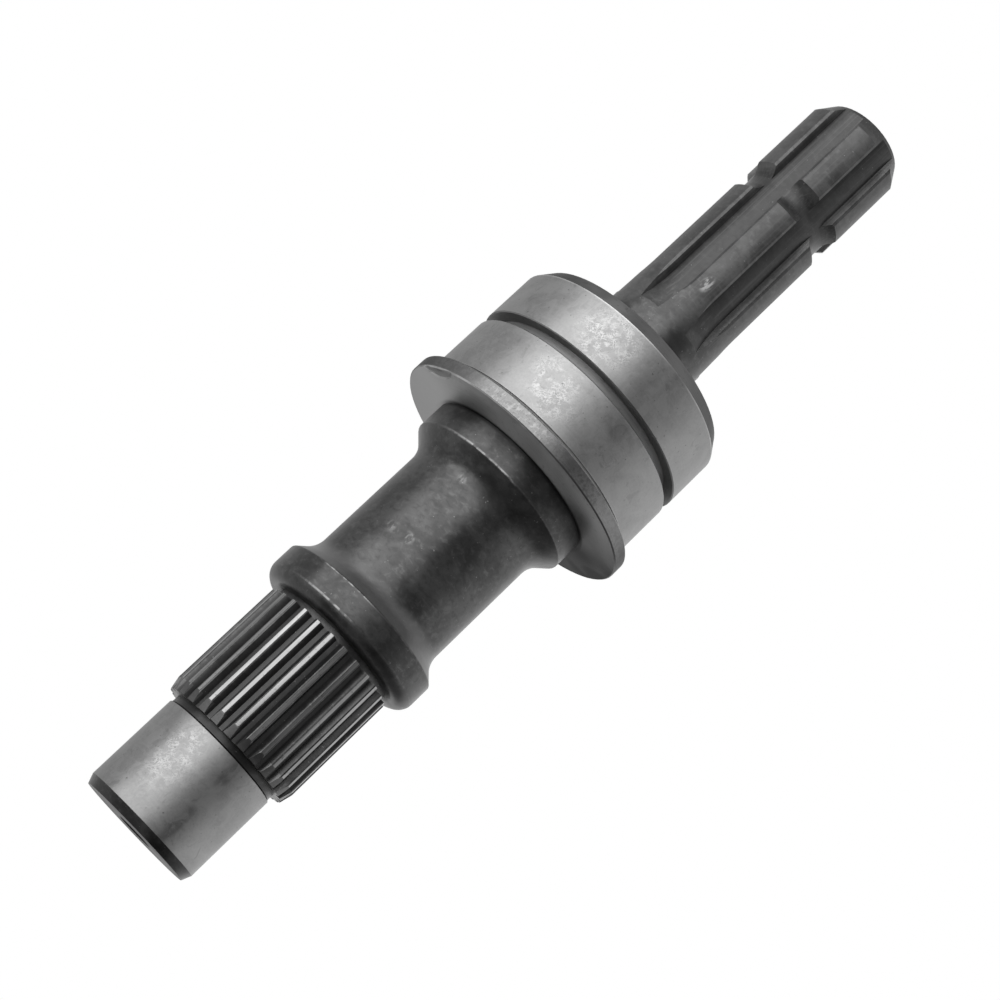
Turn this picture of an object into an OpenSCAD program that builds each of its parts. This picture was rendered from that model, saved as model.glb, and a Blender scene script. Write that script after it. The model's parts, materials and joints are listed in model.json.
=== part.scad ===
// Stub shaft of a tractor's rear power take-off, turned and splined from one
// forging. It stands on the end face of its pilot journal, with its axis on Z
// and the output spline at the top. One output tooth faces -Y.

/* [Pilot journal] */
// Diameter of the ground journal at the lower end
pilot_d = 38; // [34:0.5:40]
// Length of the journal, with its end chamfer
pilot_len = 30.4; // [20:0.1:60]
// Height of the chamfer at the lower end face
pilot_chamfer_h = 2.7; // [1:0.1:6]
// Radial depth of the chamfer at the lower end face
pilot_chamfer_depth = 1.1; // [0.5:0.1:3]
// Length of the relief between the journal and the inner spline
pilot_relief_len = 2.5; // [1:0.1:8]
// Radial depth of that relief below the journal
pilot_relief_depth = 0.45; // [0.2:0.05:1]

/* [Inner spline] */
// Number of teeth on the inner spline
spline_teeth = 27; // [20:1:36]
// Pitch diameter of the inner spline, 27 teeth of 16 diametral pitch
spline_pitch_d = 42.8625; // [42:0.0125:44]
// How far the tooth tips stand above the pitch circle
spline_addendum = 0.79375; // [0.7:0.00625:0.9]
// How far the tooth spaces reach below the pitch circle
spline_dedendum = 1.08125; // [0.7:0.00625:1.4]
// Pressure angle of the tooth flanks
spline_pressure_angle = 30; // [25:1:32]
// Toothed length, with the bevel at its lower end
spline_len = 38.3; // [20:0.1:60]
// Height of the bevel at the lower ends of the teeth
spline_bevel_h = 3.6; // [1:0.1:6]
// Radial depth of that bevel at the end faces of the teeth
spline_bevel_depth = 0.85; // [0.4:0.05:1.4]
// Width of the flat on each tooth tip
spline_land_w = 1.2; // [0.8:0.05:1.4]
// Angle from the output tooth at -Y to the nearest inner tooth
spline_phase = -4.3; // [-6.6:0.1:6.6]

/* [Collar and neck] */
// Length of the relief between the inner spline and the collar
collar_relief_len = 1.7; // [0.6:0.1:3]
// Diameter of the collar
collar_d = 54.6; // [50:0.1:60]
// Length of the collar up to where its upper edge breaks
collar_len = 10.4; // [9:0.1:30]
// Radius of the round on the collar's lower edge
collar_round_r = 4.3; // [1:0.1:4.5]
// Radius of the broken edge on the collar's upper side
collar_edge_r = 0.4; // [0.2:0.1:2]
// Diameter of the waist between the collar and the shoulder
neck_d = 45; // [40:0.5:48]
// Length from the end of the collar's cylinder to the start of the shoulder's
neck_len = 51.4; // [30:0.1:90]
// Radius of the fillets at both ends of the waist
neck_fillet_r = 8; // [6:0.5:12]
// Slope of the cones between these fillets and the edges, from the axis
neck_cone_angle = 45; // [30:1:60]

/* [Shoulder and flange] */
// Diameter of the shoulder below the flange
shoulder_d = 55.6; // [50:0.1:60]
// Length of the shoulder's cylinder
shoulder_len = 8.1; // [4:0.1:20]
// Radius of the broken edge on the shoulder's lower side
shoulder_edge_r = 0.4; // [0.2:0.1:3]
// Diameter of the thrust flange
flange_d = 81.6; // [79:0.1:100]
// Thickness of the flange at its rim
flange_rim_h = 4.5; // [3:0.1:12]
// How far the lower face of the flange falls from its rim to the shoulder
flange_face_drop = 1; // [0.2:0.1:2]
// Bevel on both edges of the rim
flange_edge = 0.35; // [0.1:0.05:0.8]
// Length of the undercut between the flange and the bearing seat
flange_relief_len = 1.4; // [0.8:0.1:3]
// Radial depth of that undercut below the bearing seat
flange_relief_depth = 0.8; // [0.3:0.1:2]
// Radius of the crescent nick in the rim's lower edge
nick_curve_r = 12; // [8:1:20]
// How far the nick reaches in from the rim
nick_reach = 2.4; // [1:0.1:4]
// Depth of the nick at the rim
nick_depth = 0.3; // [0.1:0.05:0.6]
// Angle of the nick round the rim from -Y
nick_angle = -61; // [-180:1:180]

/* [Bearing seats] */
// Diameter of the two ground bearing seats
seat_d = 75; // [70:0.1:78]
// Length of the lower seat
lower_seat_len = 18.2; // [10:0.1:40]
// Length of the upper seat, with its chamfer
upper_seat_len = 20.6; // [12:0.1:40]
// Width of the groove between the seats
groove_w = 3.7; // [2:0.1:6]
// Depth of the groove between the seats
groove_depth = 3.7; // [1:0.1:6]
// Height of the chamfer at the upper end of the seats
seat_chamfer_h = 4.3; // [1:0.1:8]
// Radial depth of that chamfer
seat_chamfer_depth = 2.8; // [1:0.1:6]
// Small edge breaks on the ground seats
seat_edge = 0.3; // [0.1:0.05:0.6]

/* [Output spline] */
// Diameter over the output teeth, the 1 3/8 inch size
output_d = 34.87; // [34:0.01:36]
// Length of the output end above the bearing seats
output_len = 105.8; // [100:0.1:140]
// Number of output teeth
output_teeth = 6; // [5:1:7]
// Diameter at the bottom of the output tooth spaces
output_root_d = 29.65; // [28:0.05:31]
// Width of an output tooth
output_tooth_w = 8.6; // [7.5:0.05:9]
// Bevel along the edges of the output teeth
output_tooth_edge = 0.5; // [0.2:0.05:0.8]
// Length of the tooth spaces at full depth
output_spline_len = 78; // [60:0.5:85]
// Radius of the run-out where each tooth space rises to the full diameter
run_out_r = 40; // [25:1:45]
// Distance of the locking groove from the upper end face
ring_from_end = 37.2; // [25:0.1:45]
// Radius of the locking groove's round section
ring_section_r = 6.8; // [5:0.1:8]
// Diameter at the bottom of the locking groove
ring_floor_d = 29.4; // [27:0.1:31]
// Height of the chamfer at the upper end
output_chamfer_h = 6; // [3:0.1:8]
// Angle of that chamfer from the axis
output_chamfer_angle = 30; // [20:1:40]
// Fillet where the output end leaves the bearing seats
output_fillet_r = 0.8; // [0.4:0.1:3]

/* [Centre holes] */
// Mouth diameter of the centre hole in the lower end
lower_centre_d = 12; // [8:0.5:16]
// Mouth diameter of the centre hole in the upper end
upper_centre_d = 10; // [6:0.5:14]
// Drilled diameter as a share of the mouth
centre_drill_share = 0.42; // [0.3:0.02:0.5]
// Full angle of the countersinks
centre_angle = 60; // [60:1:90]

/* [Hidden] */
$fn = 96;

pilot_r = pilot_d/2;
pilot_relief_r = pilot_r - pilot_relief_depth;
spline_pitch_r = spline_pitch_d/2;
spline_root_r = spline_pitch_r - spline_dedendum;
spline_outer_r = spline_pitch_r + spline_addendum;
collar_r = collar_d/2;
neck_r = neck_d/2;
shoulder_r = shoulder_d/2;
flange_r = flange_d/2;
seat_r = seat_d/2;
output_r = output_d/2;
output_root_r = output_root_d/2;

// Heights of the steps above the lower end face
z_pilot_relief = pilot_len;
z_spline = z_pilot_relief + pilot_relief_len;
z_collar_relief = z_spline + spline_len;
z_collar = z_collar_relief + collar_relief_len;
z_neck = z_collar + collar_len;
z_shoulder = z_neck + neck_len;
z_flange = z_shoulder + shoulder_len;
z_rim = z_flange + flange_face_drop;
z_flange_relief = z_rim + flange_rim_h;
z_seat = z_flange_relief + flange_relief_len;
z_groove = z_seat + lower_seat_len;
z_upper_seat = z_groove + groove_w;
z_output = z_upper_seat + upper_seat_len;
z_top = z_output + output_len;
z_ring = z_top - ring_from_end;
z_run_out = z_top - output_spline_len;

core_margin = 1;     // the inner spline's core stays this far below its roots
overshoot = 5;       // how far cutting tools reach past the metal
flank_steps = 5;     // straight steps along each inner tooth's flank
arc_steps = 10;      // straight steps along each arc of the outline
tip_break = 0.2;     // the flanks end this far below the full diameter
nick_tool_r = 3;     // radius of the round that pressed the nick
drill_tip_angle = 118;

// Angle between the circle's tangent point and the involute, in degrees
function involute(a) = tan(a)*180/PI - a;

// Half the angle that one inner tooth spans at radius r, from the base circle
base_r = spline_pitch_r*cos(spline_pressure_angle);
function tooth_half_angle(r) =
  90/spline_teeth + involute(spline_pressure_angle)
  - involute(acos(min(1, base_r/r)));

function at_angle(r, a) = [r*sin(a), -r*cos(a)];

flank_top_r = spline_outer_r - tip_break;
flank_radii = [for (i = [0:flank_steps])
  spline_root_r + (flank_top_r - spline_root_r)*i/flank_steps];
land_half_angle = asin(spline_land_w/2/spline_outer_r);

function tooth_outline(a) = concat(
  [for (r = flank_radii) at_angle(r, a - tooth_half_angle(r))],
  [at_angle(spline_outer_r, a - land_half_angle),
   at_angle(spline_outer_r, a + land_half_angle)],
  [for (i = [flank_steps:-1:0])
    at_angle(flank_radii[i], a + tooth_half_angle(flank_radii[i]))]);

// The inner spline: an involute gear outline, bevelled at its lower end
module inner_spline() {
  color("silver")
  intersection() {
    translate([0, 0, z_spline])
      linear_extrude(spline_len)
        polygon([for (i = [0:spline_teeth - 1])
          each tooth_outline(spline_phase + i*360/spline_teeth)]);
    rotate_extrude()
      polygon([[0, z_spline], [spline_outer_r - spline_bevel_depth, z_spline],
        [spline_outer_r + tip_break,
          z_spline + spline_bevel_h*(1 + tip_break/spline_bevel_depth)],
        [spline_outer_r + tip_break, z_collar_relief], [0, z_collar_relief]]);
  }
}

// Points along an arc of the outline, without its first one
function arc(centre, r, from, to) =
  [for (i = [1:arc_steps])
    let(a = from + (to - from)*i/arc_steps)
    centre + r*[cos(a), sin(a)]];

// Outline of a step from a thin cylinder up to a thick one: a fillet at its
// foot, at height 0, a cone, and a round on its edge, which ends at height
// step_h. On a low step the fillet and the round meet at a smaller slope.
function step_angle(thin_r, thick_r, edge_r) =
  min(neck_cone_angle,
    acos(max(0, 1 - (thick_r - thin_r)/(neck_fillet_r + edge_r))));
function step_h(thin_r, thick_r, edge_r) =
  let(slope = step_angle(thin_r, thick_r, edge_r))
  let(radii = neck_fillet_r + edge_r)
  radii*sin(slope)
    + (thick_r - thin_r - radii*(1 - cos(slope)))/tan(slope);
function step_outline(thin_r, thick_r, edge_r) =
  let(slope = step_angle(thin_r, thick_r, edge_r))
  let(edge_centre = [thick_r - edge_r, step_h(thin_r, thick_r, edge_r)])
  concat([[thin_r, 0]],
    arc([thin_r + neck_fillet_r, 0], neck_fillet_r, 180, 180 - slope),
    [edge_centre + edge_r*[cos(slope), -sin(slope)]],
    arc(edge_centre, edge_r, -slope, 0));

function raised(points, z) = [for (p = points) [p[0], z + p[1]]];
function upside_down(points, z) =
  [for (i = [len(points) - 1:-1:0]) [points[i][0], z - points[i][1]]];

// The pilot journal with its chamfer and relief, and the inner spline's core
pilot_outline = [
  [0, 0], [pilot_r - pilot_chamfer_depth, 0], [pilot_r, pilot_chamfer_h],
  [pilot_r, z_pilot_relief],
  [pilot_relief_r, z_pilot_relief + pilot_relief_depth],
  [pilot_relief_r, z_spline],
  [spline_root_r - core_margin, z_spline],
  [spline_root_r - core_margin, z_collar_relief]];

// The collar, the waist and the shoulder
waist_outline = concat(
  [[spline_root_r, z_collar_relief], [spline_root_r, z_collar],
    [collar_r - collar_round_r, z_collar]],
  arc([collar_r - collar_round_r, z_collar + collar_round_r],
    collar_round_r, -90, 0),
  upside_down(step_outline(neck_r, collar_r, collar_edge_r),
    z_neck + step_h(neck_r, collar_r, collar_edge_r)),
  raised(step_outline(neck_r, shoulder_r, shoulder_edge_r),
    z_shoulder - step_h(neck_r, shoulder_r, shoulder_edge_r)),
  [[shoulder_r, z_flange]]);

// The flange and the undercut above it
flange_outline = [
  [flange_r - flange_edge, z_rim], [flange_r, z_rim + flange_edge],
  [flange_r, z_flange_relief - flange_edge],
  [flange_r - flange_edge, z_flange_relief],
  [seat_r - flange_relief_depth, z_flange_relief],
  [seat_r - flange_relief_depth, z_seat]];

// The two bearing seats and the groove between them
seat_outline = [
  [seat_r - seat_edge, z_seat], [seat_r, z_seat + seat_edge],
  [seat_r, z_groove - seat_edge], [seat_r - seat_edge, z_groove],
  [seat_r - groove_depth, z_groove], [seat_r - groove_depth, z_upper_seat],
  [seat_r - seat_edge, z_upper_seat], [seat_r, z_upper_seat + seat_edge],
  [seat_r, z_output - seat_chamfer_h], [seat_r - seat_chamfer_depth, z_output]];

// The output end before its spline is cut
output_outline = concat(
  [[output_r + output_fillet_r, z_output]],
  arc([output_r + output_fillet_r, z_output + output_fillet_r],
    output_fillet_r, 270, 180),
  [[output_r, z_top - output_chamfer_h],
    [output_r - output_chamfer_h*tan(output_chamfer_angle), z_top], [0, z_top]]);

// Cross-section of one output tooth space, with the space's middle on +X:
// straight flanks parallel to the middles of the two teeth beside it, bevels
// at their edges, and a round floor
module space_section() {
  half_pitch = 180/output_teeth;
  half_w = output_tooth_w/2;
  bevel_start = sqrt(pow(output_r, 2) - pow(half_w, 2)) - output_tooth_edge;
  reach = output_r + overshoot;
  function flank(along, across) = [
    along*cos(half_pitch) + across*sin(half_pitch),
    along*sin(half_pitch) - across*cos(half_pitch)];
  start = flank(output_root_r - overshoot, half_w);
  edge = flank(bevel_start, half_w);
  out = flank(bevel_start + half_w, 0);
  difference() {
    polygon([start, edge, out, [reach, out[1]], [reach, -out[1]],
      [out[0], -out[1]], [edge[0], -edge[1]], [start[0], -start[1]]]);
    circle(output_root_r);
  }
}

// What is cut for one tooth space: a straight cut down from the top, and below
// it the round of a disc cutter lifting off. The round stays above the fillet
// at the foot of the output end.
module tooth_space() {
  cutter_axis = output_root_r + run_out_r;
  z_foot = z_output + output_fillet_r;
  translate([0, 0, z_run_out])
    linear_extrude(output_spline_len + overshoot) space_section();
  intersection() {
    translate([cutter_axis, 0, z_run_out]) rotate([90, 0, 0])
      rotate_extrude()
        intersection() {
          translate([cutter_axis, 0]) mirror([1, 0]) space_section();
          translate([0, -run_out_r]) square([2*cutter_axis, 2*run_out_r]);
        }
    translate([0, -output_r, z_foot])
      cube([output_r + overshoot, output_d, z_run_out - z_foot]);
  }
}

module tooth_spaces() {
  for (i = [0:output_teeth - 1])
    rotate(i*360/output_teeth + 180/output_teeth - 90) tooth_space();
}

// The round groove across the teeth that the coupling's lock drops into
module locking_groove() {
  translate([0, 0, z_ring]) rotate_extrude()
    translate([ring_floor_d/2 + ring_section_r, 0]) circle(ring_section_r);
}

// A lathe centre hole: countersink, drilled hole and the drill's tip
module centre_hole(mouth_d) {
  mouth_r = mouth_d/2;
  drill_r = mouth_r*centre_drill_share;
  cone_h = (mouth_r - drill_r)/tan(centre_angle/2);
  drill_end = cone_h + 2*drill_r;
  tip_h = drill_r/tan(drill_tip_angle/2);
  rotate_extrude()
    polygon([[0, -overshoot], [mouth_r, -overshoot], [mouth_r, 0],
      [drill_r, cone_h], [drill_r, drill_end], [0, drill_end + tip_h]]);
}

// The ring that pressed the crescent nick into the rim's lower edge
module rim_nick() {
  rotate(nick_angle)
    translate([0, nick_reach - flange_r - nick_curve_r, z_rim + nick_depth - nick_tool_r])
      rotate_extrude() translate([nick_curve_r, 0]) circle(nick_tool_r);
}

module stub_shaft() {
  color("dimgray")
  difference() {
    union() {
      rotate_extrude()
        polygon(concat(pilot_outline, waist_outline, flange_outline,
          seat_outline, output_outline));
      inner_spline();
    }
    tooth_spaces();
    locking_groove();
    centre_hole(lower_centre_d);
    translate([0, 0, z_top]) mirror([0, 0, 1]) centre_hole(upper_centre_d);
    rim_nick();
  }
}

stub_shaft();
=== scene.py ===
# Stub shaft of a tractor's rear power take-off, standing on its pilot journal.
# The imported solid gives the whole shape; this script gives the steel its finishes,
# and sets up the floor, the lights and the camera of the photograph.
import json
import math

import bpy
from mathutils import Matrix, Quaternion, Vector


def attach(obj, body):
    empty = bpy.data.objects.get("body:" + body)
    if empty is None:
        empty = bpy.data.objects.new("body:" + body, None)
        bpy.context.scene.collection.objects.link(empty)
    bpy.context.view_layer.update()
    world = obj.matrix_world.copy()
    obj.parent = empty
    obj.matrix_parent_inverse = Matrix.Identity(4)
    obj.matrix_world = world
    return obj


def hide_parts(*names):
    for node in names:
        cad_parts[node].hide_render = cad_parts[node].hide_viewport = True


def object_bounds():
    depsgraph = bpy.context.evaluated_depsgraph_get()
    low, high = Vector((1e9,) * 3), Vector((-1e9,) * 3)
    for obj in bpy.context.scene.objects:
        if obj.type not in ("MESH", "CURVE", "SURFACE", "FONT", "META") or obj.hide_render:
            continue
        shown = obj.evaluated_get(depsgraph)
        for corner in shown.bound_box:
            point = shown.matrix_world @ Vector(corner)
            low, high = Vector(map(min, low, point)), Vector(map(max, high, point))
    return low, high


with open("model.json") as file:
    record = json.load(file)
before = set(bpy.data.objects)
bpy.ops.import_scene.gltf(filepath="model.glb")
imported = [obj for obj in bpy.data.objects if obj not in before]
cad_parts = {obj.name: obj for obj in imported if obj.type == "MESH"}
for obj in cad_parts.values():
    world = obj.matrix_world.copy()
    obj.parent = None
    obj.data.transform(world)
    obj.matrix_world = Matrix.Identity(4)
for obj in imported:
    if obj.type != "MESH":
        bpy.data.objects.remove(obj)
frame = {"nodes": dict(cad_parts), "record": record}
cad_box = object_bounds()

# Camera
# The photograph looks at the middle of the shaft from a little below it, and
# shows the shaft leaning to the right, its output spline towards the top.
aim = Vector((0.0032, 0, 0.1365))
camera_distance = 0.5695
camera_rise = math.radians(-15.97)
camera_turn = math.radians(-0.03)
shaft_lean = math.radians(46.37)
lens_length = 72
sensor_width = 36


def direction(turn, rise):
    """The way that is turned from -Y towards +X, and risen above the level."""
    return Vector((
        math.sin(turn) * math.cos(rise),
        -math.cos(turn) * math.cos(rise),
        math.sin(rise),
    ))


def looking_back(way, lean):
    """The turn of a camera or a lamp that stands that way off, looks back and leans."""
    return (-way).to_track_quat("-Z", "Y") @ Quaternion((0, 0, 1), lean)


camera_data = bpy.data.cameras.new("camera")
camera_data.lens = lens_length
camera_data.sensor_width = sensor_width
camera_data.clip_start = 0.01
camera_data.clip_end = 20
camera = bpy.data.objects.new("camera", camera_data)
bpy.context.scene.collection.objects.link(camera)
towards_camera = direction(camera_turn, camera_rise)
camera.location = aim + towards_camera * camera_distance
camera.rotation_mode = "QUATERNION"
camera.rotation_quaternion = looking_back(towards_camera, shaft_lean)
bpy.context.scene.camera = camera

# Shaft
# One forging, turned, splined, hardened and then ground where bearings run. Its solid
# is copied and its loose triangles are joined, so that the rounds shade smoothly.
mounts = {mount["name"]: mount for mount in frame["record"]["mounts"]}
crisp_edge = math.radians(16)
round_tolerance = 0.1
merge_gap = 0.000002
shortest_edge = 0.000001
slack = 0.0001
run_out_bottom = 0.2
run_out_top = 0.2205
output_tip_radius = mounts["output_spline"]["dims"]["r_mm"] / 1000

bpy.ops.object.select_all(action="DESELECT")
shaft = bpy.data.objects.new("shaft", frame["nodes"]["stub_shaft"].data.copy())
bpy.context.scene.collection.objects.link(shaft)
bpy.context.view_layer.objects.active = shaft
shaft.select_set(True)
bpy.ops.mesh.customdata_custom_splitnormals_clear()
bpy.ops.object.mode_set(mode="EDIT")
bpy.ops.mesh.select_all(action="SELECT")
bpy.ops.mesh.remove_doubles(threshold=merge_gap)
bpy.ops.mesh.dissolve_degenerate(threshold=shortest_edge)
bpy.ops.object.mode_set(mode="OBJECT")
bpy.ops.object.shade_smooth_by_angle(angle=crisp_edge)


def seen_from_axis(vector, place):
    """The parts of a vector that point away from the axis, round it and along it."""
    outward = Vector((place.x, place.y, 0)).normalized()
    around = Vector((-outward.y, outward.x, 0))
    return Vector((vector.dot(outward), vector.dot(around), vector.z))


def is_turned(mesh, face, slope):
    """Whether a face belongs to a surface turned on the lathe; the run-outs were milled."""
    if abs(slope.y) > round_tolerance:
        return False
    if not run_out_bottom < face.center.z < run_out_top:
        return True
    return all(mesh.vertices[v].co.xy.length > output_tip_radius - slack for v in face.vertices)


def round_shading(mesh):
    """Turned faces get the normals of true rounds, whatever triangles they are made of."""
    shaded = [corner.vector.copy() for corner in mesh.corner_normals]
    slopes = [seen_from_axis(face.normal, face.center) for face in mesh.polygons]
    is_round = [is_turned(mesh, face, slopes[face.index]) for face in mesh.polygons]
    faces_at = [[] for vertex in mesh.vertices]
    for face in mesh.polygons:
        if is_round[face.index]:
            corners = [mesh.vertices[v].co for v in face.vertices]
            for i, v in enumerate(face.vertices):
                to_last = corners[i - 1] - corners[i]
                to_next = corners[(i + 1) % len(corners)] - corners[i]
                faces_at[v].append((slopes[face.index], to_last.angle(to_next)))
    for face in mesh.polygons:
        if not is_round[face.index]:
            continue
        own = slopes[face.index]
        for loop in face.loop_indices:
            v = mesh.loops[loop].vertex_index
            place = mesh.vertices[v].co
            if place.xy.length < slack:
                continue
            near = [slope * opening for slope, opening in faces_at[v] if slope.angle(own) < crisp_edge]
            slope = sum(near, Vector((0, 0, 0)))
            outward = Vector((place.x, place.y, 0)).normalized() * slope.x
            shaded[loop] = Vector((outward.x, outward.y, slope.z)).normalized()
    mesh.normals_split_custom_set(shaded)


round_shading(shaft.data)
shaft.data.materials.clear()
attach(shaft, "root")
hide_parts("stub_shaft")

# Black oxide
# Quenching leaves the forged and hobbed steel nearly black, with a soft sheen,
# cloudy where scale came off, lighter on the edges that handling has rubbed.
# Painted shade darkens its hollows and downward faces; painted highlights lift lit faces and edges.
pilot_top = 0.0304
spline_bottom = mounts["inner_spline"]["pos_m"][2]
spline_top = spline_bottom + mounts["inner_spline"]["dims"]["length_mm"] / 1000
bevel_top = 0.0365
collar_round_end = 0.07625
collar_top = 0.0834
shoulder_edge = 0.1347
flange_bottom = 0.1428
locking_groove_bottom = 0.2573
locking_groove_top = 0.2643
oxide_dark = 0.054
oxide_light = 0.086
oxide_shadow = 0.7 * oxide_dark
fleck_and_bevel_light = 0.125
shade_and_patch_grey = 0.03
rubbed_and_lit_grey = 0.12
milled_grey = 0.1
cone_light_grey = 0.14
bare_edge = 0.34


def add_node(tree, kind, inputs=None, **settings):
    """Adds a node; inputs maps a socket's name or number to a value or to another node's output."""
    made = tree.nodes.new("ShaderNode" + kind)
    for name, value in settings.items():
        setattr(made, name, value)
    for key, value in (inputs or {}).items():
        if isinstance(value, bpy.types.NodeSocket):
            tree.links.new(value, made.inputs[key])
        else:
            made.inputs[key].default_value = value
    return made


def maths(tree, operation, a, b=0.0, clamp=False):
    """One arithmetic step on two sockets or numbers."""
    return add_node(tree, "Math", {0: a, 1: b}, operation=operation, use_clamp=clamp).outputs[0]


def product(tree, *factors):
    """Several sockets or numbers, multiplied."""
    result = factors[0]
    for factor in factors[1:]:
        result = maths(tree, "MULTIPLY", result, factor)
    return result


def strongest(tree, *amounts):
    """The largest of several sockets."""
    result = amounts[0]
    for amount in amounts[1:]:
        result = maths(tree, "MAXIMUM", result, amount)
    return result


def distance(tree, a, b):
    """How far a place is from the middle, a one way and b square to it."""
    return maths(tree, "SQRT", maths(tree, "ADD", product(tree, a, a), product(tree, b, b)))


def ramp(tree, value, start, end, low=0.0, high=1.0):
    """Goes smoothly from low to high as value goes from start to end."""
    made = add_node(tree, "MapRange", {"Value": value, "From Min": start, "From Max": end,
                                       "To Min": low, "To Max": high},
                    interpolation_type="SMOOTHSTEP")
    return made.outputs["Result"]


def between(tree, value, low, high, edge=0.0001):
    """1 where value lies between low and high, fading to 0 over an edge inside both."""
    return product(tree, ramp(tree, value, low, low + edge), ramp(tree, value, high, high - edge))


def noise(tree, point, scale, detail=2.0, distortion=0.0, roughness=0.5):
    """Noise at a point; a scale of three numbers stretches it."""
    if not isinstance(scale, (int, float)):
        point = add_node(tree, "Mapping", {"Vector": point, "Scale": scale}).outputs[0]
        scale = 1.0
    made = add_node(tree, "TexNoise", {"Vector": point, "Scale": scale, "Detail": detail,
                                       "Distortion": distortion, "Roughness": roughness})
    return made.outputs["Fac"]


def blend(tree, amount, low, high):
    """A value between low and high; each is a number or a socket."""
    return add_node(tree, "Mix", {0: amount, 2: low, 3: high}).outputs[0]


def line_at(tree, value, place, width):
    """1 where value is at the place, fading to 0 at a distance of width."""
    gap = maths(tree, "ABSOLUTE", maths(tree, "SUBTRACT", value, place))
    return ramp(tree, gap, 0.3 * width, width, 1.0, 0.0)


def patch(tree, turn, height, at_turn, at_height, half_turn, half_height):
    """A soft oval on the surface, placed in degrees from -Y and in millimetres of height."""
    across = product(tree, maths(tree, "SUBTRACT", turn, math.radians(at_turn)), 1 / math.radians(half_turn))
    along = product(tree, maths(tree, "SUBTRACT", height, at_height / 1000), 1000 / half_height)
    return ramp(tree, distance(tree, across, along), 0.4, 1.0, 1.0, 0.0)


def new_finish(name):
    """Adds a material to the shaft; gives its tree, shader, point, radius, height and turn from -Y."""
    material = bpy.data.materials.new(name)
    material.use_nodes = True
    tree = material.node_tree
    shader = tree.nodes["Principled BSDF"]
    shader.inputs["Metallic"].default_value = 1.0
    point = add_node(tree, "TexCoord").outputs["Object"]
    x, y, height = add_node(tree, "SeparateXYZ", {0: point}).outputs
    radius = distance(tree, x, y)
    turn = maths(tree, "ARCTAN2", x, product(tree, y, -1.0))
    shaft.data.materials.append(material)
    return tree, shader, point, radius, height, turn


def coat(tree, shader, shade, roughness, relief, strength, depth):
    """Gives a finish its grey, its roughness and its fine relief, depth metres deep."""
    tree.links.new(shade, shader.inputs["Base Color"])
    tree.links.new(roughness, shader.inputs["Roughness"])
    bump = add_node(tree, "Bump", {"Height": relief, "Strength": strength, "Distance": depth})
    tree.links.new(bump.outputs[0], shader.inputs["Normal"])


def round_the_axis(tree, shader, amount):
    """Fine marks that run round the shaft spread its highlights along it."""
    shader.inputs["Anisotropic"].default_value = amount
    shader.inputs["Anisotropic Rotation"].default_value = 0.25
    tangent = add_node(tree, "Tangent", direction_type="RADIAL", axis="Z").outputs[0]
    tree.links.new(tangent, shader.inputs["Tangent"])


tree, shader, point, radius, height, turn = new_finish("black_oxide")
clouds = noise(tree, point, 95, detail=6, distortion=0.6)
mottle = noise(tree, point, (430, 430, 620), detail=7, distortion=0.4, roughness=0.62)
rings = noise(tree, point, (40, 40, 2400), detail=3)
shade = blend(tree, ramp(tree, clouds, 0.36, 0.66), oxide_dark, oxide_light)
shade = blend(tree, ramp(tree, mottle, 0.5, 0.7, 0, 0.5), shade, fleck_and_bevel_light)
shade = blend(tree, ramp(tree, mottle, 0.48, 0.36, 0, 0.4), shade, oxide_shadow)
# Painted highlight on the shoulder cone's side towards the soft box, mottled like rubbed oxide.
rubbed_and_lit_cone = patch(tree, turn, height, -27, 129, 16, 4)
rubbed_and_lit_cone = product(tree, rubbed_and_lit_cone, ramp(tree, mottle, 0.4, 0.6, 0.2, 0.6))
shade = blend(tree, rubbed_and_lit_cone, shade, rubbed_and_lit_grey)

# Painted shade on the front of the shoulder cone, which faces down, and a darker patch on the output stub.
shaded_cone_front = patch(tree, turn, height, -4, 129, 14, 5)
dark_stub_patch = patch(tree, turn, height, 20, 202, 17, 6)
shade_and_dark_patch = product(tree, strongest(tree, shaded_cone_front, dark_stub_patch), 0.55)
# Painted shade on the right of the collar's round, which faces down; it is made duller there too.
shaded_round = patch(tree, turn, height, 88, 73.5, 48, 5)
output_space = product(tree, ramp(tree, height, run_out_bottom, run_out_bottom + 0.006),
                       ramp(tree, radius, 0.0166, 0.0158, 0, 0.6))
inner_space = product(tree, between(tree, height, spline_bottom, spline_top, 0.0003),
                      ramp(tree, radius, 0.0219, 0.0212, 0, 0.75))
in_spaces = strongest(tree, output_space, inner_space)
relief_groove = between(tree, height, pilot_top, spline_bottom, 0.0002)
under_flange = product(tree, ramp(tree, height, flange_bottom - 0.0012, flange_bottom - 0.0002, 0, 0.8),
                       ramp(tree, height, flange_bottom, flange_bottom + 0.001, 1, 0))
# Painted shade in the tooth spaces, the relief groove, the corner under the flange and on the round.
in_recesses = strongest(tree, in_spaces, under_flange, product(tree, relief_groove, 0.6),
                        product(tree, shaded_round, 0.9))
shade = blend(tree, strongest(tree, shade_and_dark_patch, in_recesses), shade, shade_and_patch_grey)

# Painted light on the bevel faces below the inner teeth, which face the soft box.
lit_bevel = product(tree, ramp(tree, height, bevel_top + 0.0001, bevel_top),
                   ramp(tree, height, spline_bottom, spline_bottom + 0.0002),
                   ramp(tree, radius, 0.0212, 0.0214, 0, 0.6))
shade = blend(tree, lit_bevel, shade, fleck_and_bevel_light)
milled = noise(tree, point, (1700, 1700, 14), detail=3)
milled = product(tree, ramp(tree, height, 0.205, 0.215), ramp(tree, milled, 0.5, 0.68, 0, 0.45))
shade = blend(tree, milled, shade, milled_grey)

# Worn edges, brightest on the side towards the soft box: partly a painted highlight.
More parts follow.
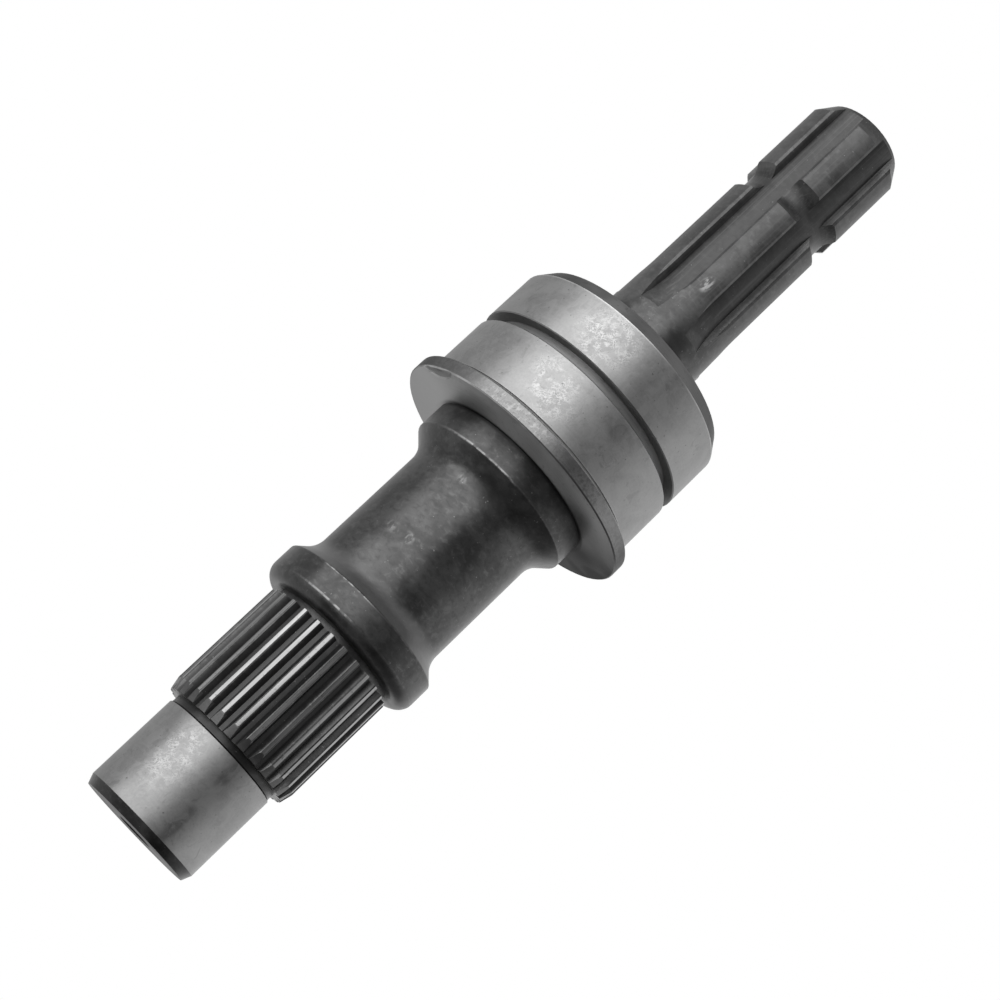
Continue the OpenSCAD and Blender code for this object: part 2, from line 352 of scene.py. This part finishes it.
worn_lit_collar = patch(tree, turn, height, -21, 76.3, 27, 30)
worn_lit_shoulder = patch(tree, turn, height, -18, 134.7, 40, 4)
edges = strongest(tree, line_at(tree, height, collar_round_end, 0.0004),
                  line_at(tree, height, collar_top, 0.00035), line_at(tree, height, shoulder_edge, 0.0005))
edges = product(tree, edges, blend(tree, strongest(tree, worn_lit_collar, worn_lit_shoulder), 0.1, 0.65),
                ramp(tree, noise(tree, point, 420, detail=4), 0.42, 0.6, 0.1, 1.0))
specks = ramp(tree, noise(tree, point, 1400, detail=1), 0.76, 0.8)
scuffs = ramp(tree, noise(tree, point, (1100, 1100, 420), detail=4), 0.44, 0.58)
output_scuff = product(tree, patch(tree, turn, height, -2, 221, 7, 3.6), scuffs)
waist_scuffs = strongest(tree, patch(tree, turn, height, -33, 104, 5, 2.2),
                         patch(tree, turn, height, -16, 104.3, 5, 2.2),
                         patch(tree, turn, height, -21, 127, 5, 2))
waist_scuffs = product(tree, waist_scuffs, scuffs)
bare = strongest(tree, edges, product(tree, specks, 0.5), product(tree, output_scuff, 0.7),
                 product(tree, waist_scuffs, 0.24))
shade = blend(tree, bare, shade, bare_edge)

# Painted light on the collar's upper cone, which is made duller there too.
lit_cone = product(tree, ramp(tree, height, collar_top, collar_top + 0.0006),
                  ramp(tree, height, 0.0875, 0.092, 1.0, 0.0))
shade = blend(tree, product(tree, lit_cone, 0.5), shade, cone_light_grey)
relief = maths(tree, "ADD", product(tree, mottle, 0.7), product(tree, rings, 0.3))
coat(tree, shader, shade, ramp(tree, clouds, 0.3, 0.7, 0.33, 0.43), relief, strength=0.4, depth=0.00005)
round_the_axis(tree, shader, 0.35)

locking_groove = product(tree, between(tree, height, locking_groove_bottom, locking_groove_top, 0.0004),
                         ramp(tree, radius, 0.01484, 0.01496))
dull_end = product(tree, ramp(tree, height, 0.199, 0.204, 0, 0.8), blend(tree, locking_groove, 1.0, 0.2))
dull_spaces = product(tree, in_spaces, blend(tree, locking_groove, 1.0, 0.3))
dull = strongest(tree, dull_spaces, dull_end, lit_cone, shaded_round)
tree.links.new(blend(tree, dull, 0.92, 0.5), shader.inputs["Metallic"])

# Ground surfaces
# The journal and the two bearing seats are ground after hardening, to a satin
# grey with fine rings, and carry smears, dried grease strokes and small pits.
seat_edges = (0.1499, 0.1678, 0.1717, 0.1878)
ground_dark = 0.262
ground_light = 0.315
ring_grey = 0.35
grain_grey = 0.21
smear_light = 0.345
smear_dark = 0.2
stroke_grey = 0.43
stain_grey = 0.15
pit_grey = 0.1
worn_edge = 0.5


def strokes(tree, point, slant, scale, width):
    """Thin wandering lines at a slant in degrees, as a wiping cloth or a dried drop leaves them."""
    slanted = add_node(tree, "Mapping", {"Vector": point, "Rotation": (0, math.radians(slant), 0)}).outputs[0]
    return line_at(tree, noise(tree, slanted, scale, detail=2, distortion=0.7), 0.5, width)


tree, shader, point, radius, height, turn = new_finish("ground_steel")
clouds = noise(tree, point, 75, detail=5, distortion=0.9)
rings = noise(tree, point, (50, 50, 1500), detail=3)
grain = noise(tree, point, 1600, detail=2)
smears = noise(tree, point, (260, 260, 200), detail=7, distortion=0.8, roughness=0.68)
shade = blend(tree, ramp(tree, clouds, 0.35, 0.65), ground_dark, ground_light)
shade = blend(tree, ramp(tree, rings, 0.35, 0.7, 0, 0.2), shade, ring_grey)
shade = blend(tree, ramp(tree, grain, 0.3, 0.7, 0, 0.25), shade, grain_grey)

wiped = strongest(tree, patch(tree, turn, height, -22, 17, 34, 19),
                  patch(tree, turn, height, -16, 161, 22, 10),
                  patch(tree, turn, height, -16, 180, 24, 10))
smeared = product(tree, ramp(tree, smears, 0.48, 0.6), blend(tree, wiped, 0.5, 0.95))
shade = blend(tree, smeared, shade, smear_light)
shade = blend(tree, ramp(tree, smears, 0.44, 0.34, 0, 0.6), shade, smear_dark)
greasy = strongest(tree, patch(tree, turn, height, -22, 20, 22, 14),
                   patch(tree, turn, height, -12, 156, 16, 7),
                   patch(tree, turn, height, -16, 162, 16, 7),
                   patch(tree, turn, height, -13, 180, 20, 11))
greasy = product(tree, greasy, ramp(tree, noise(tree, point, 330, detail=3), 0.42, 0.55))
drawn = strongest(tree, strokes(tree, point, 40, (330, 330, 1000), 0.035),
                  strokes(tree, point, -25, (420, 420, 800), 0.03),
                  strokes(tree, point, 0, (700, 700, 500), 0.03))
shade = blend(tree, product(tree, drawn, greasy), shade, stroke_grey)

stains = strongest(tree, patch(tree, turn, height, 19, 8, 7, 9), patch(tree, turn, height, 19, 26.5, 7, 6),
                   product(tree, patch(tree, turn, height, 3, 19, 26, 2.5), 0.35),
                   product(tree, patch(tree, turn, height, 45, 17.3, 6, 3), 0.4),
                   product(tree, patch(tree, turn, height, 20, 164, 14, 4), 0.4))
stains = product(tree, stains, ramp(tree, smears, 0.62, 0.42, 0.3, 0.8))
shade = blend(tree, stains, shade, stain_grey)
pits = ramp(tree, noise(tree, point, 1100, detail=2), 0.71, 0.75, 0, 0.7)
shade = blend(tree, pits, shade, pit_grey)
edges = strongest(tree, *[line_at(tree, height, edge, 0.00035) for edge in seat_edges])
edges = product(tree, edges, ramp(tree, noise(tree, point, 150, detail=3), 0.38, 0.6, 0.2, 0.8))
shade = blend(tree, edges, shade, worn_edge)
relief = maths(tree, "ADD", rings, product(tree, grain, 0.5))
coat(tree, shader, shade, ramp(tree, smears, 0.35, 0.65, 0.46, 0.54), relief, strength=0.12, depth=0.00002)
round_the_axis(tree, shader, 0.5)

# Turned faces
# The flange, the grooves and the chamfers keep the lathe's rings, fine circles
# of light and dark grey. Oil and dirt stay in the grooves and on the flange; painted
# shade darkens the groove's upper wall and the flange face's corner and right side,
# and painted light brightens its left side, the undercut and the rim's edges.
groove_low = 0.1679
groove_high = 0.1716
undercut_top = 0.1497
rim_low = 0.1438
rim_high = 0.1483
chamfer_bottom = 0.1879
flange_radius = 0.0408
turned_dark = 0.21
turned_light = 0.27
cut_grey = 0.32
spot_grey = 0.13
dirt_and_shade_grey = 0.07
nick_grey = 0.08
corner_shadow_grey = 0.02
shaded_grey = 0.03
painted_light_grey = 0.5
fleck_grey = 0.42
worn_lit_rim = 0.55
faint_tint = 0.4

tree, shader, point, radius, height, turn = new_finish("turned_steel")
clouds = noise(tree, point, 85, detail=5, distortion=0.6)
ring_point = add_node(tree, "CombineXYZ", {0: radius, 1: height}).outputs[0]
rings = noise(tree, ring_point, (2600, 2600, 0), detail=2)
spots = noise(tree, point, 700, detail=4, roughness=0.65)
shade = blend(tree, ramp(tree, clouds, 0.35, 0.65), turned_dark, turned_light)
shade = blend(tree, ramp(tree, rings, 0.3, 0.7, 0, 0.5), shade, cut_grey)
shade = blend(tree, ramp(tree, spots, 0.58, 0.68, 0, 0.5), shade, spot_grey)

on_face = between(tree, height, flange_bottom - 0.0002, rim_low + 0.0001)
on_rim = between(tree, height, rim_low + 0.0003, rim_high - 0.0003)
in_undercut = between(tree, height, rim_high, undercut_top + 0.0001)
on_floor = between(tree, height, groove_low, groove_high - 0.0001)
on_wall = between(tree, height, groove_high - 0.0001, groove_high + 0.0001)
on_chamfer = ramp(tree, height, chamfer_bottom, chamfer_bottom + 0.0001)
outermost = ramp(tree, radius, flange_radius - 0.0006, flange_radius - 0.0003)

# Painted light on the flange face's side towards the soft box.
lit_face = product(tree, patch(tree, turn, height, -115, 143.3, 85, 4), on_face)
shade = blend(tree, lit_face, shade, painted_light_grey)
in_nick = product(tree, patch(tree, turn, height, -61, 143.3, 12, 4), ramp(tree, radius, 0.0384, 0.0386),
                  on_face, 0.7)
shade = blend(tree, in_nick, shade, nick_grey)
# Painted shadow in the corner between the flange face and the shoulder, most at the front and right.
off_front = maths(tree, "ABSOLUTE", maths(tree, "SUBTRACT", turn, math.radians(40)))
corner_shadow = product(tree, ramp(tree, radius, 0.0294, 0.028, 0, 0.9), on_face,
                    ramp(tree, off_front, math.radians(90), math.radians(130), 1.0, 0.1))
shade = blend(tree, corner_shadow, shade, corner_shadow_grey)
shaded_side = product(tree, patch(tree, turn, height, 68, 143.3, 50, 4), on_face,
                      ramp(tree, radius, 0.0385, 0.031, 0, 0.75))
shade = blend(tree, shaded_side, shade, shaded_grey)
# Painted light in the undercut, lifting its shade.
shade = blend(tree, in_undercut, shade, painted_light_grey)

# Painted shade on the flange face's right side, away from the light, mottled.
shaded_right_face = product(tree, patch(tree, turn, height, 100, 143.3, 75, 4), on_face,
                    ramp(tree, clouds, 0.6, 0.4, 0.75, 1.0))
rim_film = product(tree, on_rim, ramp(tree, spots, 0.4, 0.6, 0.48, 0.3))
rim_smudge = product(tree, patch(tree, turn, height, 24, 146, 17, 9), on_rim,
                     ramp(tree, spots, 0.35, 0.6, 0.65, 0.25))
low_edge = product(tree, line_at(tree, height, rim_low + 0.0002, 0.0004),
                   patch(tree, turn, height, 32, 144, 55, 3), outermost, 0.9)
# Film and smudges on the rim and dirt in the groove and on the chamfer, with painted shade on the face and
# the groove's wall.
dirt_and_shade = strongest(tree, shaded_right_face, rim_film, rim_smudge, low_edge, product(tree, on_wall, 0.3),
                 product(tree, on_floor, 0.35), product(tree, on_chamfer, 0.35))
shade = blend(tree, dirt_and_shade, shade, dirt_and_shade_grey)

rim_front = product(tree, patch(tree, turn, height, -14, 146, 26, 6), on_rim)
rim_flecks = noise(tree, point, (900, 900, 500), detail=5, distortion=0.5, roughness=0.65)
rim_flecks = product(tree, ramp(tree, rim_flecks, 0.52, 0.62), rim_front, 0.3)
shade = blend(tree, rim_flecks, shade, fleck_grey)
rim_pits = product(tree, ramp(tree, noise(tree, point, 1300, detail=2), 0.63, 0.68, 0, 0.6), rim_front)
shade = blend(tree, rim_pits, shade, nick_grey)
# The rim's edges are worn, and brightest where light catches them: partly a painted highlight.
low_worn_lit = product(tree, line_at(tree, height, rim_low + 0.0001, 0.0004),
                     blend(tree, patch(tree, turn, height, -50, 144, 48, 3), 0.1, 1.0))
high_worn_lit = product(tree, line_at(tree, height, rim_high - 0.0001, 0.0004),
                      blend(tree, patch(tree, turn, height, 30, 148.3, 45, 3), 0.15, 0.7))
rim_edges = product(tree, strongest(tree, low_worn_lit, high_worn_lit), outermost,
                    ramp(tree, noise(tree, point, 160, detail=3), 0.36, 0.6, 0.3, 1.0))
shade = blend(tree, rim_edges, shade, worn_lit_rim)
coat(tree, shader, shade, ramp(tree, clouds, 0.3, 0.7, 0.33, 0.43), rings, strength=0.3, depth=0.00003)
round_the_axis(tree, shader, 0.5)

dull_face = product(tree, patch(tree, turn, height, 20, 143.3, 75, 4), on_face)
dull_face = maths(tree, "SUBTRACT", dull_face, corner_shadow, clamp=True)
dull = strongest(tree, dull_face, in_undercut, on_floor, product(tree, on_wall, 0.5))
tree.links.new(blend(tree, dull, 1.0, 0.3), shader.inputs["Metallic"])
shader.inputs["Specular Tint"].default_value = (faint_tint, faint_tint, faint_tint, 1)

# Rubbed tips
# The tips of the inner teeth are turned to size before hobbing and stay bare
# in use, so they shine as narrow bright lines.
spline_teeth = 27
tooth_at = math.radians(-4.3)
spline_tip_radius = mounts["inner_spline"]["dims"]["r_mm"] / 1000
tooth_pitch = 2 * math.pi * spline_tip_radius / spline_teeth
half_land = 0.00042
half_tip = 0.0006
rubbed_dark = 0.24
rubbed_light = 0.34
tip_nick_grey = 0.12
tip_side_grey = 0.08

tree, shader, point, radius, height, turn = new_finish("rubbed_steel")
wear = noise(tree, point, (700, 700, 60), detail=4)
nicks = noise(tree, point, 900, detail=3)
pitches = product(tree, maths(tree, "SUBTRACT", turn, tooth_at), spline_teeth / (2 * math.pi))
off_middle = product(tree, maths(tree, "PINGPONG", pitches, 0.5), tooth_pitch)
shade = blend(tree, ramp(tree, wear, 0.35, 0.65), rubbed_dark, rubbed_light)
shade = blend(tree, ramp(tree, nicks, 0.6, 0.72, 0, 0.7), shade, tip_nick_grey)
shade = blend(tree, ramp(tree, off_middle, half_land, half_tip), shade, tip_side_grey)
coat(tree, shader, shade, ramp(tree, wear, 0.3, 0.7, 0.26, 0.34), nicks, strength=0.2, depth=0.00002)

# Finish of each face
# The grinder, the lathe and the hob each left surfaces of their own, so a face's
# height, its distance from the axis and the way it looks say how it is finished.
BLACK, GROUND, TURNED, RUBBED = range(4)
pilot_chamfer_top = 0.0027
output_bottom = 0.1922
seat_radius = mounts["lower_bearing_seat"]["dims"]["r_mm"] / 1000


def finish_of(centre, normal):
    """The finish of a face with that middle and normal, numbered as the materials were added."""
    radius = centre.xy.length
    is_upright = abs(normal.z) < slack
    if centre.z < slack and normal.z < -0.99:
        return TURNED
    if centre.z < spline_bottom - slack:
        return GROUND if is_upright and pilot_chamfer_top < centre.z < pilot_top else BLACK
    if centre.z < spline_top and radius > spline_tip_radius - slack / 2 and is_upright:
        return RUBBED
    if centre.z < flange_bottom - slack:
        return BLACK
    if centre.z < output_bottom + slack:
        return GROUND if is_upright and abs(radius - seat_radius) < slack else TURNED
    return BLACK


for face in shaft.data.polygons:
    face.material_index = finish_of(face.center, face.normal)

# Floor
# A pale sheet that the shaft stands on and that fades out round it. The camera
# looks up from below its level, so the sheet is painted on its upper side only.
shaft_low, shaft_high = cad_box
floor_size = 2
floor_gap = 0.0001
fade_start = 0.25
fade_end = 0.7
paper_grey = 0.8

bpy.ops.mesh.primitive_plane_add(size=floor_size, location=(0, 0, shaft_low.z - floor_gap))
floor = bpy.context.object
floor.name = "floor"
floor.visible_glossy = False
paper = bpy.data.materials.new("paper")
paper.use_nodes = True
tree = paper.node_tree
painted = tree.nodes["Principled BSDF"]
painted.inputs["Base Color"].default_value = (paper_grey, paper_grey, paper_grey, 1)
painted.inputs["Roughness"].default_value = 0.9
underside = add_node(tree, "NewGeometry").outputs["Backfacing"]
point = add_node(tree, "TexCoord").outputs["Object"]
from_middle = add_node(tree, "VectorMath", {0: point}, operation="LENGTH").outputs["Value"]
missing = strongest(tree, underside, ramp(tree, from_middle, fade_start, fade_end))
clear = add_node(tree, "BsdfTransparent").outputs[0]
sheet = add_node(tree, "MixShader", {0: missing, 1: painted.outputs[0], 2: clear})
tree.links.new(sheet.outputs[0], tree.nodes["Material Output"].inputs["Surface"])
floor.data.materials.append(paper)

# Studio
# A large soft box stands to the left of the camera. The walls are white and
# fall into the dark towards the camera's side of the room and low on the right.
box_turn = math.radians(-36.5)
box_rise = math.radians(12)
box_lean = math.radians(-16)
box_distance = 1.3
box_width = 1.8
box_height = 2.0
box_brightness = 2.45
wall_behind = 1.1
wall_in_front = 0.24
wall_on_left = 0.62
ceiling = 0.6
wall_beside_box = 0.12
corner_darkness = 0.8
level_lit = 0.55

box_data = bpy.data.lights.new("soft_box", "AREA")
box_data.shape = "RECTANGLE"
box_data.size = box_width
box_data.size_y = box_height
box_data.energy = box_brightness * math.pi * box_width * box_height
soft_box = bpy.data.objects.new("soft_box", box_data)
bpy.context.scene.collection.objects.link(soft_box)
towards_box = direction(box_turn, box_rise)
soft_box.location = (shaft_low + shaft_high) / 2 + towards_box * box_distance
soft_box.rotation_mode = "QUATERNION"
soft_box.rotation_quaternion = looking_back(towards_box, box_lean)

room = bpy.data.worlds.new("room")
bpy.context.scene.world = room
room.use_nodes = True
tree = room.node_tree
way = add_node(tree, "TexCoord").outputs["Generated"]
to_right, to_back, upward = add_node(tree, "SeparateXYZ", {0: way}).outputs
to_front = product(tree, to_back, -1.0)
front_low = maths(tree, "SUBTRACT", to_front, product(tree, upward, 0.3))
front = ramp(tree, front_low, 0.1, 0.6, wall_behind, wall_in_front)
left = ramp(tree, product(tree, to_right, -1.0), -0.3, 0.4, 1.0, wall_on_left)
above = ramp(tree, upward, 0.5, 0.95, 1.0, ceiling)
low_right = product(tree, ramp(tree, to_right, 0.05, 0.4), ramp(tree, upward, -0.18, -0.42))
dark_corner = maths(tree, "SUBTRACT", 1.0, product(tree, low_right, corner_darkness))
beside_box = product(tree, ramp(tree, to_front, 0.5, 0.8),
                     ramp(tree, to_right, 0.05, 0.4, wall_beside_box, 0.0))
walls = maths(tree, "ADD", product(tree, front, left, above, dark_corner), beside_box)
path = add_node(tree, "LightPath").outputs
mirrored = strongest(tree, path["Is Glossy Ray"], path["Is Transmission Ray"])
strength = blend(tree, mirrored, product(tree, walls, level_lit), walls)
strength = blend(tree, path["Is Camera Ray"], strength, 1.0)
background = tree.nodes["Background"]
background.inputs["Color"].default_value = (1, 1, 1, 1)
tree.links.new(strength, background.inputs["Strength"])

bpy.context.scene.view_settings.view_transform = "Standard"
